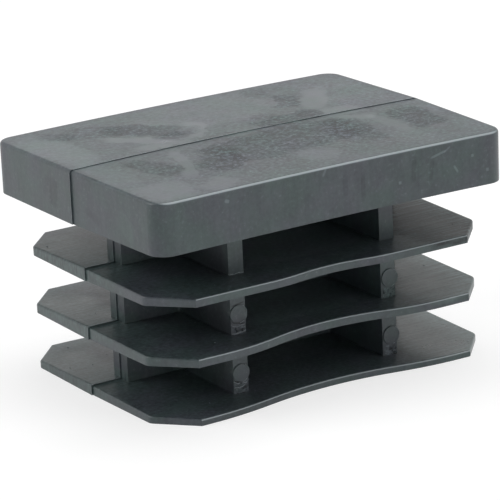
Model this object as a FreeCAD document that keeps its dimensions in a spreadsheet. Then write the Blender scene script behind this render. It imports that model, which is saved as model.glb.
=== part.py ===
import FreeCAD, Part
import math
import os
import Sketcher
from FreeCAD import Placement, Rotation, Vector

# Ribbed end cap for a rectangular tube, moulded in one piece.
#
# A thick head plate closes the tube. Three thin fins under it grip the bore. A web along the
# middle and two ribs across it carry the fins. The cap comes out of a mould that opens along Y
# and parts at Y = 0, so the front half (Y < 0) and the back half (Y > 0) are each built as one
# body that tapers away from the parting plane, and the two are fused.
#
# Millimetres. X runs along the head, Z up through its top. Z = 0 is the seat under the head,
# where the end of the tube bears, and the origin is the middle of that seat.

SIZES = {
    # head plate
    "head_length": (40.0, "length at the parting plane"),
    "head_width": (30.0, "width over both halves"),
    "head_rim_height": (5.1, "height of the long sides"),
    "head_corner_radius": (1.8, "upright corners, seen from above"),
    "head_edge_radius": (0.35, "rounding round the top"),
    "head_bow": (0.5, "how far shrinkage bows the long sides towards the back"),
    "head_top_fall": (0.15, "fall of the top from the parting plane to the side"),
    "front_end_draft": (0.39, "how much shorter each end of the front half is at its side"),
    "back_end_draft": (0.15, "the same on the back half"),
    "seam_bow": (0.75, "how far shrinkage bows the parting line across the head, towards the back"),
    "seam_start": (1.0, "end of the head to where that bow starts"),
    "seam_cover": (0.3, "how far the front half reaches past the bow, inside the back half"),
    # fins
    "fin_length": (38.0, "length at the parting plane"),
    "fin_width": (28.1, "width over both halves"),
    "fin_end_draft": (0.16, "how far each end falls back at the cut corner"),
    "fin_corner_along": (3.4, "cut corner, measured along X"),
    "fin_corner_across": (3.7, "cut corner, measured along Y"),
    "fin_tip_radius": (0.9, "rounding between the end and the cut corner"),
    "fin_edge_height": (0.78, "thickness of the upper fins at the long side"),
    "fin_foot_height": (0.62, "thickness of the lowest fin at the long side"),
    "fin_top_fall": (0.3, "fall of the top from the parting plane to the side"),
    "fin_under_rise": (0.1, "rise of the underside of the upper fins to the side"),
    "fin_edge_radius": (0.2, "rounding round the top of a fin"),
    "first_fin_depth": (4.9, "seat to the top of the first fin, at its side"),
    "fin_pitch": (5.87, "one fin to the next"),
    "first_waist_half": (7.0, "half length of the hollow in the long side of the first fin"),
    "first_waist_depth": (0.67, "depth of that hollow"),
    "second_waist_half": (12.4, "half length of the hollow of the second fin"),
    "second_waist_depth": (1.7, "depth of that hollow"),
    "third_waist_half": (14.6, "half length of the hollow of the third fin"),
    "third_waist_depth": (1.55, "depth of that hollow"),
    "trim_spare": (0.2, "how far the trimming of a plate runs past it"),
    # web and ribs
    "web_length": (31.5, "length at the parting plane"),
    "web_thickness": (2.4, "thickness over both halves"),
    "web_end_draft": (0.05, "how far each end falls back at the face"),
    "rib_spacing": (17.2, "middle of one rib to the middle of the other"),
    "rib_reach": (10.2, "parting plane to the free edge of a rib"),
    "rib_edge_width": (1.65, "width at the free edge"),
    "rib_root_width": (2.0, "width at the parting plane"),
    "pin_mark_diameter": (1.8, "round pads left by the ejector pins"),
    "pin_mark_height": (0.12, "how far a pad stands off the free edge of its rib"),
    "pin_mark_root": (0.4, "how far a pad reaches back along the side of its rib"),
    "left_pin_mark_offset": (0.0, "middle of the left rib to its pads, towards +X"),
    "right_pin_mark_offset": (0.15, "middle of the right rib to its pads, towards +X"),
    "pin_mark_rise": (2.05, "pad above the top of the fin below it"),
    "root_radius": (0.3, "rounding where the web, the ribs and the plates meet"),
    # mismatch of the two mould halves
    "head_step": (0.06, "how far the top of the back half stands above the front half"),
    "fin_step": (0.12, "the same on the fins"),
    "half_shift": (0.12, "how far the back half sits towards -X"),
}

# Margins for picking edges: two places this close are one, how far the draft may carry an
# upright edge from its corner, and how far past the web and the ribs a plate's rim starts.
SAME_PLACE = 0.01
LEAN = 0.1
RIM_START = 0.5


class Size:
    """A length that carries its number and the sheet formula that it comes from."""

    def __init__(self, number, formula):
        self.number = number
        self.formula = formula

    @staticmethod
    def of(value):
        return value if isinstance(value, Size) else Size(float(value), repr(float(value)))

    def joined(self, other, sign, number):
        return Size(number, f"({self.formula} {sign} {Size.of(other).formula})")

    def __add__(self, other):
        return self.joined(other, "+", self.number + Size.of(other).number)

    def __sub__(self, other):
        return self.joined(other, "-", self.number - Size.of(other).number)

    def __mul__(self, other):
        return self.joined(other, "*", self.number * Size.of(other).number)

    def __truediv__(self, other):
        return self.joined(other, "/", self.number / Size.of(other).number)

    def __neg__(self):
        return self * -1

    def degrees_over(self, run):
        """The angle of a slope with this rise over a run."""
        return Size(math.degrees(math.atan2(self.number, run.number)), f"atan({self.formula} / {run.formula})")


def make_sheet(doc):
    """Writes the driving sizes into the document's sheet and returns them by name."""
    sheet = doc.addObject("Spreadsheet::Sheet", "sizes")
    for row, (name, (value, meaning)) in enumerate(SIZES.items(), start=1):
        sheet.set(f"A{row}", name)
        sheet.set(f"B{row}", str(value))
        sheet.set(f"C{row}", meaning)
        sheet.setAlias(f"B{row}", name)
    doc.recompute()
    return {name: Size(float(sheet.get(name)), f"sizes.{name}") for name in SIZES}


# Sketches

def new_sketch(body, name, role, offset=None, tilt=None, tilt_axis=Vector(1, 0, 0)):
    """Adds a sketch on one of the body's own origin planes, moved along its normal and tilted."""
    plane = next(item for item in body.Origin.OriginFeatures if item.Role == role)
    sketch = body.newObject("Sketcher::SketchObject", name)
    sketch.AttachmentSupport = [(plane, "")]
    sketch.MapMode = "FlatFace"
    if offset is None:
        return sketch
    turn = Rotation(tilt_axis, tilt.number) if tilt else Rotation()
    sketch.AttachmentOffset = Placement(Vector(0, 0, offset.number), turn)
    sketch.setExpression("AttachmentOffset.Base.z", offset.formula)
    if tilt:
        sketch.setExpression("AttachmentOffset.Rotation.Angle", tilt.formula)
    return sketch


def pin_vertex(sketch, edge, end, point):
    """Ties one end of an edge to its coordinates."""
    for kind, value in zip(("DistanceX", "DistanceY"), point):
        index = sketch.addConstraint(Sketcher.Constraint(kind, -1, 1, edge, end, value.number))
        sketch.setExpression(f"Constraints[{index}]", value.formula)


def arc_radius(half_chord, rise):
    """Radius of an arc from half of its chord and its rise over the chord."""
    return (half_chord * half_chord + rise * rise) / (rise * 2)


def draw_arc(sketch, first, last, radius):
    """Draws the short arc between two points; radius is negative where the path turns right.

    Returns the edge and the numbers of the vertices that stand at the first and the last point.
    """
    chord = last - first
    left = Vector(-chord.y, chord.x, 0).normalize()
    to_centre = (radius.number ** 2 - (chord.Length / 2) ** 2) ** 0.5
    turns_left = radius.number > 0
    centre = (first + last) / 2 + left * (to_centre if turns_left else -to_centre)
    start, stop = (first, last) if turns_left else (last, first)
    angles = [math.atan2(point.y - centre.y, point.x - centre.x) for point in (start, stop)]
    circle = Part.Circle(centre, Vector(0, 0, 1), abs(radius.number))
    edge = sketch.addGeometry(Part.ArcOfCircle(circle, *angles))
    size = radius if turns_left else -radius
    index = sketch.addConstraint(Sketcher.Constraint("Radius", edge, size.number))
    sketch.setExpression(f"Constraints[{index}]", size.formula)
    return (edge, 1, 2) if turns_left else (edge, 2, 1)


def draw_outline(sketch, points, arcs=None):
    """Draws a closed outline through the points; arcs gives radii by their first point's number."""
    arcs = arcs or {}
    points = [tuple(Size.of(value) for value in point) for point in points]
    ends = points[1:] + points[:1]
    for number, (start, end) in enumerate(zip(points, ends)):
        first = Vector(start[0].number, start[1].number, 0)
        last = Vector(end[0].number, end[1].number, 0)
        if number in arcs:
            edge, first_vertex, last_vertex = draw_arc(sketch, first, last, arcs[number])
        else:
            edge, first_vertex, last_vertex = sketch.addGeometry(Part.LineSegment(first, last)), 1, 2
        pin_vertex(sketch, edge, first_vertex, start)
        pin_vertex(sketch, edge, last_vertex, end)


def draw_circle(sketch, middle, radius):
    """Draws a circle by its middle and its radius."""
    centre = Vector(middle[0].number, middle[1].number, 0)
    edge = sketch.addGeometry(Part.Circle(centre, Vector(0, 0, 1), radius.number))
    pin_vertex(sketch, edge, 3, middle)
    index = sketch.addConstraint(Sketcher.Constraint("Radius", edge, radius.number))
    sketch.setExpression(f"Constraints[{index}]", radius.formula)


# Features

def extrude(body, kind, sketch, length, upwards=True, both_ways=False):
    """Pads or pockets a sketch by a length, along or against its normal."""
    feature = body.newObject(f"PartDesign::{kind}", f"{sketch.Name}_{kind.lower()}")
    feature.Profile = sketch
    feature.Length = length.number
    feature.setExpression("Length", length.formula)
    feature.Reversed = upwards == (kind == "Pocket")
    feature.Midplane = both_ways
    body.Document.recompute()
    return feature


def round_edges(body, name, radius, wanted):
    """Rounds the edges of the body's tip that the wanted test picks."""
    tip = body.Tip
    names = [f"Edge{number}" for number, edge in enumerate(tip.Shape.Edges, start=1) if wanted(edge)]
    feature = body.newObject("PartDesign::Fillet", name)
    feature.Base = (tip, names)
    feature.Radius = radius.number
    feature.setExpression("Radius", radius.formula)
    body.Document.recompute()
    return feature


def near(value, target, margin=SAME_PLACE):
    return abs(value - target) < margin


def upright_at(corner, low, high):
    """Test for an edge that stands, all but upright, on a corner between two heights."""
    def wanted(edge):
        box = edge.BoundBox
        at_corner = near(abs(box.Center.x), corner[0], LEAN) and near(abs(box.Center.y), corner[1], LEAN)
        thin = box.XLength < LEAN and box.YLength < LEAN
        return thin and at_corner and low - LEAN < box.ZMin and box.ZMax < high + LEAN
    return wanted


def rim_of(low, high, inner_x, inner_y):
    """Test for an edge round the top of a plate, off the parting plane and clear of the stem."""
    def wanted(edge):
        box = edge.BoundBox
        level = low - SAME_PLACE < box.ZMin and box.ZMax < high + SAME_PLACE
        off_plane = max(abs(box.YMin), abs(box.YMax)) > SAME_PLACE
        return level and off_plane and (abs(box.Center.x) > inner_x or abs(box.Center.y) > inner_y)
    return wanted


class MouldHalf:
    """One half of the cap: the front half lies at Y < 0, the back half at Y > 0."""

    def __init__(self, doc, size, name, side):
        self.size = size
        self.side = side
        self.name = name
        self.is_back = side > 0
        self.body = doc.addObject("PartDesign::Body", f"half_{name}")

    def sketch(self, name, role, offset=None, tilt=None):
        """A sketch of this half; a tilted one falls away from the parting plane."""
        outwards = Vector(-self.side, 0, 0)
        return new_sketch(self.body, f"{self.name}_{name}", role, offset, tilt, outwards)

    def across(self, distance):
        """A distance from the parting plane, as a Y coordinate."""
        return distance * self.side

    def plate(self, name, length, section, plan, arcs, corner, corner_radius, edge_radius):
        """Builds a plate that falls towards its side, cut to a plan and rounded.

        section gives the root's bottom and top, the side's bottom and top, and the side's reach.
        The plan is drawn in the plane of the sloping top, from one end to the other. corner is
        the corner of the plan that is rounded, at both ends.
        """
        s = self.size
        root_bottom, root_top, side_bottom, side_top, reach = section
        side = self.across(reach)
        sketch = self.sketch(f"{name}_section", "YZ_Plane")
        draw_outline(sketch, [(0, root_bottom), (side, side_bottom), (side, side_top), (0, root_top)])
        extrude(self.body, "Pad", sketch, length, both_ways=True)

        spare = s["trim_spare"]
        past_x = length / 2 + spare
        past_y = self.across(reach + spare)
        around = [(past_x, 0), (past_x, past_y), (-past_x, past_y), (-past_x, 0)]
        tilt = (root_top - side_top).degrees_over(reach)
        sketch = self.sketch(f"{name}_trim", "XY_Plane", root_top, tilt)
        draw_outline(sketch, plan + around, arcs)
        extrude(self.body, "Pocket", sketch, root_top - root_bottom + spare, upwards=False)

        low = root_bottom.number
        high = root_top.number
        round_edges(self.body, f"{self.name}_{name}_corners", corner_radius,
                    upright_at((corner[0].number, abs(corner[1].number)), low, high))
        rim_x = (s["web_length"] / 2).number + RIM_START
        rim_y = s["rib_reach"].number + RIM_START
        round_edges(self.body, f"{self.name}_{name}_edge", edge_radius,
                    rim_of(side_top.number, high, rim_x, rim_y))

    def head(self):
        s = self.size
        half_length = s["head_length"] / 2
        half_width = s["head_width"] / 2
        side_x = half_length - (s["back_end_draft"] if self.is_back else s["front_end_draft"])
        root_top = s["head_rim_height"] + s["head_top_fall"]
        side_top = s["head_rim_height"]
        if self.is_back:
            root_top = root_top + s["head_step"]
            side_top = side_top + s["head_step"]
        seat = Size.of(0)
        reach = half_width + s["head_bow"]
        corner = (side_x, self.across(half_width))
        plan = [(-half_length, 0), (-side_x, self.across(half_width)), corner, (half_length, 0)]
        self.plate("head", s["head_length"], (seat, root_top, seat, side_top, reach), plan,
                   {1: -arc_radius(side_x, s["head_bow"])}, corner, s["head_corner_radius"],
                   s["head_edge_radius"])
        self.seam(half_length - s["seam_start"], root_top)

    def seam(self, run, height):
        """Bows the parting line: the front half fills what the back half gives up."""
        s = self.size
        bow = s["seam_bow"]
        if self.is_back:
            sketch = self.sketch("seam", "XY_Plane", height)
            draw_outline(sketch, [(-run, 0), (run, 0)], {1: arc_radius(run, bow)})
            extrude(self.body, "Pocket", sketch, height + s["trim_spare"], upwards=False)
        else:
            cover = s["seam_cover"]
            sketch = self.sketch("seam", "XY_Plane")
            draw_outline(sketch, [(-run - cover, 0), (run + cover, 0), (run, bow + cover), (-run, bow + cover)])
            extrude(self.body, "Pad", sketch, height)

    def stem(self):
        """The web and the ribs, from the foot of the lowest fin up to the seat."""
        s = self.size
        depth = s["first_fin_depth"] + s["fin_pitch"] * 2 + s["fin_foot_height"]
        half_length = s["web_length"] / 2
        side_x = half_length - s["web_end_draft"]
        face = self.across(s["web_thickness"] / 2)
        sketch = self.sketch("web_plan", "XY_Plane", -depth)
        draw_outline(sketch, [(-half_length, 0), (-side_x, face), (side_x, face), (half_length, 0)])
        extrude(self.body, "Pad", sketch, depth)
        for name, sign in (("left", -1), ("right", 1)):
            middle = s["rib_spacing"] / 2 * sign
            root = s["rib_root_width"] / 2
            edge = s["rib_edge_width"] / 2
            reach = self.across(s["rib_reach"])
            sketch = self.sketch(f"{name}_rib_plan", "XY_Plane", -depth)
            draw_outline(sketch, [(middle - root, 0), (middle - edge, reach),
                                  (middle + edge, reach), (middle + root, 0)])
            extrude(self.body, "Pad", sketch, depth)

    def fin(self, level, name):
        """One fin; level counts from 0 under the head."""
        s = self.size
        is_lowest = level == 2
        half_length = s["fin_length"] / 2
        half_width = s["fin_width"] / 2
        end_x = half_length - s["fin_end_draft"]
        end_y = half_width - s["fin_corner_across"]
        side_x = end_x - s["fin_corner_along"]
        side_top = -s["first_fin_depth"] - s["fin_pitch"] * level
        side_bottom = side_top - (s["fin_foot_height"] if is_lowest else s["fin_edge_height"])
        root_bottom = side_bottom if is_lowest else side_bottom - s["fin_under_rise"]
        root_top = side_top + s["fin_top_fall"]
        if self.is_back:
            root_top = root_top + s["fin_step"]

        # The hollow is one arc between two that lead into it, all of one radius.
        run = s[f"{name}_waist_half"]
        depth = s[f"{name}_waist_depth"]
        side = self.across(half_width)
        turn = self.across(half_width - depth / 2)
        tip = (end_x, self.across(end_y))
        plan = [(-half_length, 0), (-end_x, self.across(end_y)), (-side_x, side), (-run, side),
                (-run / 2, turn), (run / 2, turn), (run, side), (side_x, side), tip, (half_length, 0)]
        outward = arc_radius(run / 2, depth / 2) * -self.side
        self.plate(f"{name}_fin", s["fin_length"], (root_bottom, root_top, side_bottom, side_top, half_width),
                   plan, {3: outward, 4: -outward, 5: outward}, tip, s["fin_tip_radius"], s["fin_edge_radius"])

    def pin_marks(self):
        """Round pads on the free edges of the ribs, above the second and the third fin."""
        s = self.size
        inner = s["rib_reach"] - s["pin_mark_root"]
        for gap, level in (("middle", 1), ("lower", 2)):
            height = s["pin_mark_rise"] - s["first_fin_depth"] - s["fin_pitch"] * level
            for name, sign in (("left", -1), ("right", 1)):
                middle = s["rib_spacing"] / 2 * sign + s[f"{name}_pin_mark_offset"]
                sketch = self.sketch(f"{name}_{gap}_pin_mark", "XZ_Plane", inner * -self.side)
                draw_circle(sketch, (middle, height), s["pin_mark_diameter"] / 2)
                extrude(self.body, "Pad", sketch, s["pin_mark_root"] + s["pin_mark_height"],
                        upwards=not self.is_back)

    def stem_roots(self):
        """Rounds the inner corners where the ribs, the web and the plates meet."""
        s = self.size
        round_edges(self.body, f"{self.name}_roots", s["root_radius"], self.is_root)

    def is_root(self, edge):
        s = self.size
        box = edge.BoundBox
        rib_middle = (s["rib_spacing"] / 2).number
        rib_root = (s["rib_root_width"] / 2).number
        face = (s["web_thickness"] / 2).number
        beside_rib = near(abs(box.Center.x), rib_middle, rib_root + SAME_PLACE)
        on_face = near(abs(box.Center.y), face)
        upright = box.XLength < SAME_PLACE and box.YLength < SAME_PLACE
        return upright and beside_rib and on_face


def find_faults(doc):
    """Names every object that didn't compute, or whose shape is empty or broken."""
    faults = []
    for item in doc.Objects:
        shape = getattr(item, "Shape", None)
        kinds = ("PartDesign::Feature", "PartDesign::Body", "Part::MultiFuse")
        is_solid = any(item.isDerivedFrom(kind) for kind in kinds)
        broken = is_solid and (shape.isNull() or not shape.isValid())
        if broken or "Invalid" in item.State or "Error" in item.State:
            faults.append(f"{item.Name} {item.State}")
    return faults


def main():
    doc = FreeCAD.newDocument("end_cap")
    size = make_sheet(doc)
    halves = []
    for name, side in (("front", -1), ("back", 1)):
        half = MouldHalf(doc, size, name, side)
        half.head()
        half.stem()
        for level, fin_name in enumerate(("first", "second", "third")):
            half.fin(level, fin_name)
        half.stem_roots()
        halves.append(half)
    front, back = halves
    front.pin_marks()
    back.body.Placement.Base.x = -size["half_shift"].number
    back.body.setExpression("Placement.Base.x", (-size["half_shift"]).formula)

    cap = doc.addObject("Part::MultiFuse", "end_cap")
    cap.Shapes = [front.body, back.body]
    cap.Refine = True
    doc.recompute()
    faults = find_faults(doc)
    if faults or len(cap.Shape.Solids) != 1:
        raise RuntimeError("; ".join(faults) or "the two halves are not one solid")
    box = cap.Shape.BoundBox
    lengths = [round(length, 2) for length in (box.XLength, box.YLength, box.ZLength)]
    print("volume", round(cap.Shape.Volume, 1), "size", lengths)
    os.makedirs("parts", exist_ok=True)
    cap.Shape.exportStep("parts/end_cap.step")


main()
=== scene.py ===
"""Looks of a ribbed end cap for a rectangular tube.

The cap is one moulding of dark grey polyethylene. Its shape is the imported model's own; this
script gives it the finish of a part that came out of a steel mould, the thin flash that the
mould left, and a pale studio. Sizes are in millimetres until they reach a mesh or a light.
"""
import logging
import math
from dataclasses import dataclass
from enum import Enum
from typing import Any

import bmesh
import bpy
from mathutils import Matrix, Vector

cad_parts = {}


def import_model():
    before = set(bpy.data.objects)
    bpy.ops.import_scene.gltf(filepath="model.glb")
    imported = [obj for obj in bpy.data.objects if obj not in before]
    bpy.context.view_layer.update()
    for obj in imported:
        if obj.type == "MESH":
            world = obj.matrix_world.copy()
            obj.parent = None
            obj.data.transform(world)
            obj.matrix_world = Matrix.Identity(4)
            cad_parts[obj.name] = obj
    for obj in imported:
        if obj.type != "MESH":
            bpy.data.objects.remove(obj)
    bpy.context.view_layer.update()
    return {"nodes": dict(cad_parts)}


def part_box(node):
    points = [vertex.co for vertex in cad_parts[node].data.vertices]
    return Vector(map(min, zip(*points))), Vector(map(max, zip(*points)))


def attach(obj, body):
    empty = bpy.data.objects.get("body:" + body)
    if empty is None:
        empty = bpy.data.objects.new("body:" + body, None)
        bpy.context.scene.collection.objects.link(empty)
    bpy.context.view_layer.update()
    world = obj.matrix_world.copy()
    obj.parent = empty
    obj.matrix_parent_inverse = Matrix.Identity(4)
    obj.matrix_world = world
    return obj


MM = 0.001
NODE = "end_cap"
BODY = "root"
NOISE_MIDDLE = 0.5
BLOCK_POWER = 4
WHITE = (1.0, 1.0, 1.0, 1.0)

Pair = tuple[float, float]
Point = tuple[float, float, float]
Tree = bpy.types.NodeTree
Node = bpy.types.Node
Socket = bpy.types.NodeSocket

log = logging.getLogger("end_cap")


class Face(Enum):
    """The faces that carry marks, by the axis that a mark turns about on them."""

    TOP = "Z_AXIS"
    FRONT = "Y_AXIS"
    END = "X_AXIS"


def linear(hex_colour: str) -> tuple[float, float, float, float]:
    """Turns an sRGB hex colour into linear values.

    Args:
        hex_colour: six hex digits, such as "5a6063".

    Returns:
        Red, green, blue and an alpha of 1.
    """
    channels = [int(hex_colour[start:start + 2], 16) / 255 for start in (0, 2, 4)]
    values = [c / 12.92 if c <= 0.04045 else ((c + 0.055) / 1.055) ** 2.4 for c in channels]
    return (*values, 1.0)


def per_mm(size_mm: float) -> float:
    """Turns the size of a pattern into its scale."""
    return 1.0 / (size_mm * MM)


def add_node(tree: Tree, kind: str, inputs: dict[Any, Any] | None = None, **settings: Any) -> Node:
    """Adds one node with its settings, values and links.

    Args:
        tree: the tree that takes the node.
        kind: the node's type name, such as "ShaderNodeTexNoise".
        inputs: a value or an output socket for each input, by its name or number.
        **settings: attributes to set on the node.

    Returns:
        The new node.
    """
    node = tree.nodes.new(kind)
    for name, value in settings.items():
        setattr(node, name, value)
    for key, value in (inputs or {}).items():
        if isinstance(value, Socket):
            tree.links.new(value, node.inputs[key])
        else:
            node.inputs[key].default_value = value
    return node


@dataclass(frozen=True)
class Mark:
    """A cloud, band, rub or painted patch of light or shade: a rounded block where the finish changes.

    Attributes:
        at: middle, in millimetres.
        half: half sizes along its own axes, in millimetres.
        turn: degrees about the face's normal.
        face: the face that it lies on.
        tone: paler where positive, darker where negative.
        haze: rougher where positive, smoother where negative.
        grain: how much fine mottling it holds.
        streak: how much fine drag along X it holds.
        fade: share of its half size over which it fades in.
    """

    at: Point
    half: Point
    turn: float = 0.0
    face: Face = Face.TOP
    tone: float = 0.0
    haze: float = 0.0
    grain: float = 0.0
    streak: float = 0.0
    fade: float = 0.5


@dataclass(frozen=True)
class Strength:
    """How strongly a pattern shows.

    Attributes:
        middle: the pattern's own middle, which becomes zero.
        base: its strength where no mark changes it.
        reach: what each 1 of the marks' sum adds to that.
    """

    middle: float
    base: float
    reach: float


HEAD_TOP = 5.2
FLOW_MARKS_AND_PAINTED_LIGHT = (
    # smooth pale bands where the melt ran fast
    Mark((-9.6, 4.8, HEAD_TOP), (4.2, 1.1, 0.6), -43, tone=0.28, haze=-0.08, grain=-0.8, fade=0.35),
    Mark((-8.9, 1.9, HEAD_TOP), (3.4, 1.3, 0.6), tone=0.26, haze=-0.06, grain=-0.6),
    Mark((-10.5, -5.0, HEAD_TOP), (5.4, 0.9, 0.6), 71, tone=0.30, haze=-0.06, grain=-0.9, fade=0.35),
    Mark((-3.6, 4.6, HEAD_TOP), (3.6, 1.4, 0.6), 58, tone=0.28, haze=-0.06, grain=-0.6, fade=0.4),
    Mark((11.9, 6.6, HEAD_TOP), (4.6, 1.4, 0.6), 57, tone=0.22, haze=-0.06, grain=-1.2),
    Mark((11.6, 1.2, HEAD_TOP), (2.4, 1.8, 0.6), tone=0.26, haze=-0.06, grain=-0.5),
    Mark((11.4, -2.0, HEAD_TOP), (2.2, 0.8, 0.6), -42, tone=0.22, haze=-0.06, grain=-0.7, fade=0.4),
    Mark((12.6, -5.2, HEAD_TOP), (0.9, 4.4, 0.6), -4, tone=0.14, haze=-0.04, grain=-0.7, fade=0.4),
    # pale clouds towards the rim
    Mark((0.8, 9.2, HEAD_TOP), (9.4, 5.2, 0.6), 5, tone=0.16, haze=-0.03, grain=-0.1),
    Mark((-17.4, 6.6, HEAD_TOP), (2.6, 7.4, 0.6), tone=0.40, haze=-0.04, grain=-0.2, fade=0.6),
    Mark((-16.4, -11.6, HEAD_TOP), (3.2, 3.2, 0.6), tone=0.34, haze=-0.05, grain=-0.5, fade=0.6),
    Mark((-11.2, -12.4, HEAD_TOP), (2.4, 1.7, 0.6), 30, tone=0.22, haze=-0.05, grain=-0.5),
    Mark((-17.9, -3.8, HEAD_TOP), (1.6, 5.8, 0.6), tone=0.28, grain=-0.3, fade=0.6),
    Mark((1.0, -10.4, HEAD_TOP), (2.1, 2.0, 0.6), -30, tone=0.22, haze=-0.03, grain=-0.3, fade=0.6),
    Mark((11.6, -11.2, HEAD_TOP), (1.8, 3.0, 0.6), 20, tone=0.20, grain=0.2, fade=0.6),
    Mark((15.6, 7.4, HEAD_TOP), (4.0, 6.8, 0.6), -8, tone=0.24, grain=0.4),
    Mark((18.4, -2.0, HEAD_TOP), (1.4, 3.6, 0.6), tone=0.30, grain=0.3, fade=0.6),
    Mark((18.6, -11.6, HEAD_TOP), (1.4, 3.2, 0.6), tone=0.12, grain=0.2, fade=0.6),
    Mark((0.0, 14.0, HEAD_TOP), (14.0, 1.2, 0.6), tone=0.16, grain=-0.1, fade=0.7),
    # dark mottled clouds where it slowed down
    Mark((-6.9, 7.2, HEAD_TOP), (5.2, 2.3, 0.6), -45, tone=-0.29, haze=0.10, grain=1.1, fade=0.4),
    Mark((-11.8, 10.4, HEAD_TOP), (3.2, 2.6, 0.6), -30, tone=-0.07, haze=0.04, grain=0.8),
    Mark((-6.0, 3.9, HEAD_TOP), (1.9, 1.6, 0.6), 20, tone=-0.19, haze=0.06, grain=0.3, fade=0.4),
    Mark((-14.6, 11.4, HEAD_TOP), (2.2, 1.3, 0.6), -50, tone=-0.16, haze=0.06, grain=0.3),
    Mark((5.6, 1.8, HEAD_TOP), (4.4, 1.9, 0.6), 4, tone=-0.26, haze=0.10, grain=1.0, fade=0.4),
    Mark((4.0, 3.8, HEAD_TOP), (1.2, 1.4, 0.6), tone=-0.18, haze=0.04, grain=0.6, fade=0.4),
    Mark((9.4, 7.8, HEAD_TOP), (3.0, 1.5, 0.6), 57, tone=-0.26, haze=0.08, grain=1.5, fade=0.35),
    Mark((8.6, 12.6, HEAD_TOP), (2.4, 1.8, 0.6), 60, tone=-0.16, haze=0.04, grain=0.6),
    Mark((-3.2, 0.9, HEAD_TOP), (2.2, 1.3, 0.6), tone=-0.19, grain=0.4),
    Mark((0.6, -0.9, HEAD_TOP), (5.4, 1.2, 0.6), tone=-0.14, grain=0.4, fade=0.4),
    Mark((1.4, -4.3, HEAD_TOP), (9.4, 4.4, 0.6), 4, tone=-0.24, haze=0.10, grain=0.9, fade=0.3),
    Mark((-6.8, -5.6, HEAD_TOP), (4.2, 2.4, 0.6), 66, tone=-0.20, haze=0.08, grain=0.9, fade=0.35),
    Mark((-9.6, -7.2, HEAD_TOP), (3.6, 3.4, 0.6), tone=-0.10, haze=0.04, grain=0.3),
    Mark((-4.4, -10.8, HEAD_TOP), (4.0, 3.0, 0.6), -8, tone=-0.16, grain=0.4),
    Mark((8.3, -5.4, HEAD_TOP), (2.6, 5.0, 0.6), -10, tone=-0.10, haze=0.08, grain=0.8, fade=0.4),
    Mark((6.4, -10.6, HEAD_TOP), (4.2, 3.0, 0.6), -6, tone=-0.16, grain=0.4, fade=0.6),
    Mark((15.8, -5.6, HEAD_TOP), (2.2, 4.3, 0.6), -6, tone=-0.30, haze=0.10, grain=1.1, fade=0.35),
    Mark((15.6, -10.8, HEAD_TOP), (1.5, 1.8, 0.6), tone=-0.14, grain=0.3, fade=0.6),
    Mark((-13.6, -4.0, HEAD_TOP), (1.8, 3.8, 0.6), 14, tone=-0.26, haze=0.08, grain=0.6, fade=0.4),
    # painted light on the step of the parting line, in the middle of the top, taking out its shade
    Mark((1.5, 0.68, 5.25), (6.5, 0.16, 0.06), 0, Face.FRONT, tone=0.9),
)
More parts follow.
